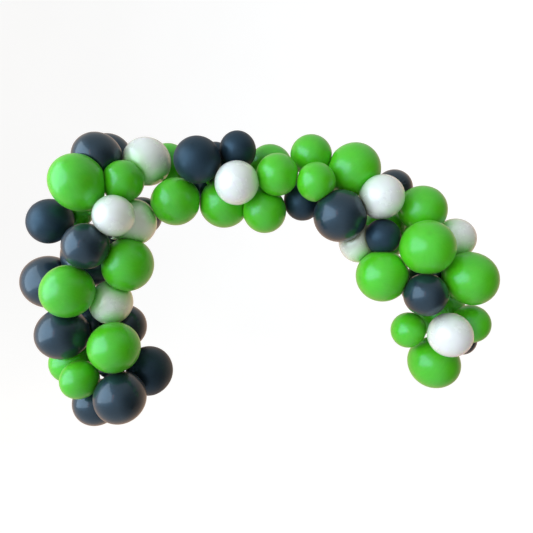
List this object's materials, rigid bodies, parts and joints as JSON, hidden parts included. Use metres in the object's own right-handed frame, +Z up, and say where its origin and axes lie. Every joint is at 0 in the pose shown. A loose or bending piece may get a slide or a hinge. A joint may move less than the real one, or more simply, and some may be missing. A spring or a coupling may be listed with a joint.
{
  "type": "balloon garland",
  "caption": "Asymmetric arch of round green, black and pearl white latex balloons in tied clusters, longer on the left, made to hang flat on a wall.",
  "frame": {"origin": "middle of the flat patch where the topmost rear green balloon, in the middle of the top run, presses on the wall", "axes": "+X to the right along the wall as seen from the front, +Y into the wall, +Z up; the wall is the plane y = 0"},
  "size_m": [2.1401, 0.5162, 1.3859],
  "materials": {
    "green_latex": "satin",
    "black_latex": "satin",
    "white_pearl_latex": "pearlescent satin"
  },
  "bodies": {
    "root": {"left_foot_back_black_balloon": "black_latex", "left_foot_front_black_balloon": "black_latex", "left_foot_front_green_balloon": "green_latex", "left_foot_inner_black_balloon": "black_latex", "left_foot_outer_black_balloon": "black_latex", "left_hip_back_black_balloon": "black_latex", "left_hip_front_green_balloon": "green_latex", "left_hip_front_white_balloon": "white_pearl_latex", "left_hip_outer_green_balloon": "green_latex", "left_knee_front_green_balloon": "green_latex", "left_knee_inner_white_balloon": "white_pearl_latex", "left_knee_outer_black_balloon": "black_latex", "left_shin_back_black_balloon": "black_latex", "left_shin_front_green_balloon": "green_latex", "left_shin_outer_black_balloon": "black_latex", "left_shin_outer_green_balloon": "green_latex", "left_shin_wall_black_balloon": "black_latex", "left_shoulder_front_black_balloon": "black_latex", "left_shoulder_front_green_balloon": "green_latex", "left_shoulder_inner_white_balloon": "white_pearl_latex", "left_shoulder_wall_black_balloon": "black_latex", "left_thigh_back_black_balloon": "black_latex", "left_thigh_front_black_balloon": "black_latex", "left_thigh_inner_green_balloon": "green_latex", "left_thigh_inner_white_balloon": "white_pearl_latex", "left_thigh_outer_black_balloon": "black_latex", "right_foot_back_black_balloon": "black_latex", "right_foot_front_white_balloon": "white_pearl_latex", "right_foot_inner_green_balloon": "green_latex", "right_foot_lower_green_balloon": "green_latex", "right_foot_outer_green_balloon": "green_latex", "right_hip_back_green_balloon": "green_latex", "right_hip_front_black_balloon": "black_latex", "right_hip_inner_white_balloon": "white_pearl_latex", "right_hip_outer_green_balloon": "green_latex", "right_knee_back_black_balloon": "black_latex", "right_knee_front_black_balloon": "black_latex", "right_knee_outer_green_balloon": "green_latex", "right_knee_wall_green_balloon": "green_latex", "right_shoulder_front_white_balloon": "white_pearl_latex", "right_shoulder_inner_black_balloon": "black_latex", "right_shoulder_wall_black_balloon": "black_latex", "right_thigh_front_green_balloon": "green_latex", "right_thigh_inner_green_balloon": "green_latex", "right_thigh_outer_white_balloon": "white_pearl_latex", "top_left_back_black_balloon": "black_latex", "top_left_lower_green_balloon": "green_latex", "top_left_of_middle_front_black_balloon": "black_latex", "top_left_of_middle_lower_green_balloon": "green_latex", "top_left_of_middle_upper_black_balloon": "black_latex", "top_left_upper_green_balloon": "green_latex", "top_middle_front_white_balloon": "white_pearl_latex", "top_middle_lower_green_balloon": "green_latex", "top_middle_upper_black_balloon": "black_latex", "top_middle_wall_green_balloon": "green_latex", "top_right_front_green_balloon": "green_latex", "top_right_of_middle_front_green_balloon": "green_latex", "top_right_of_middle_lower_black_balloon": "black_latex", "top_right_of_middle_upper_green_balloon": "green_latex", "top_right_upper_green_balloon": "green_latex"}
  },
  "joints": []
}
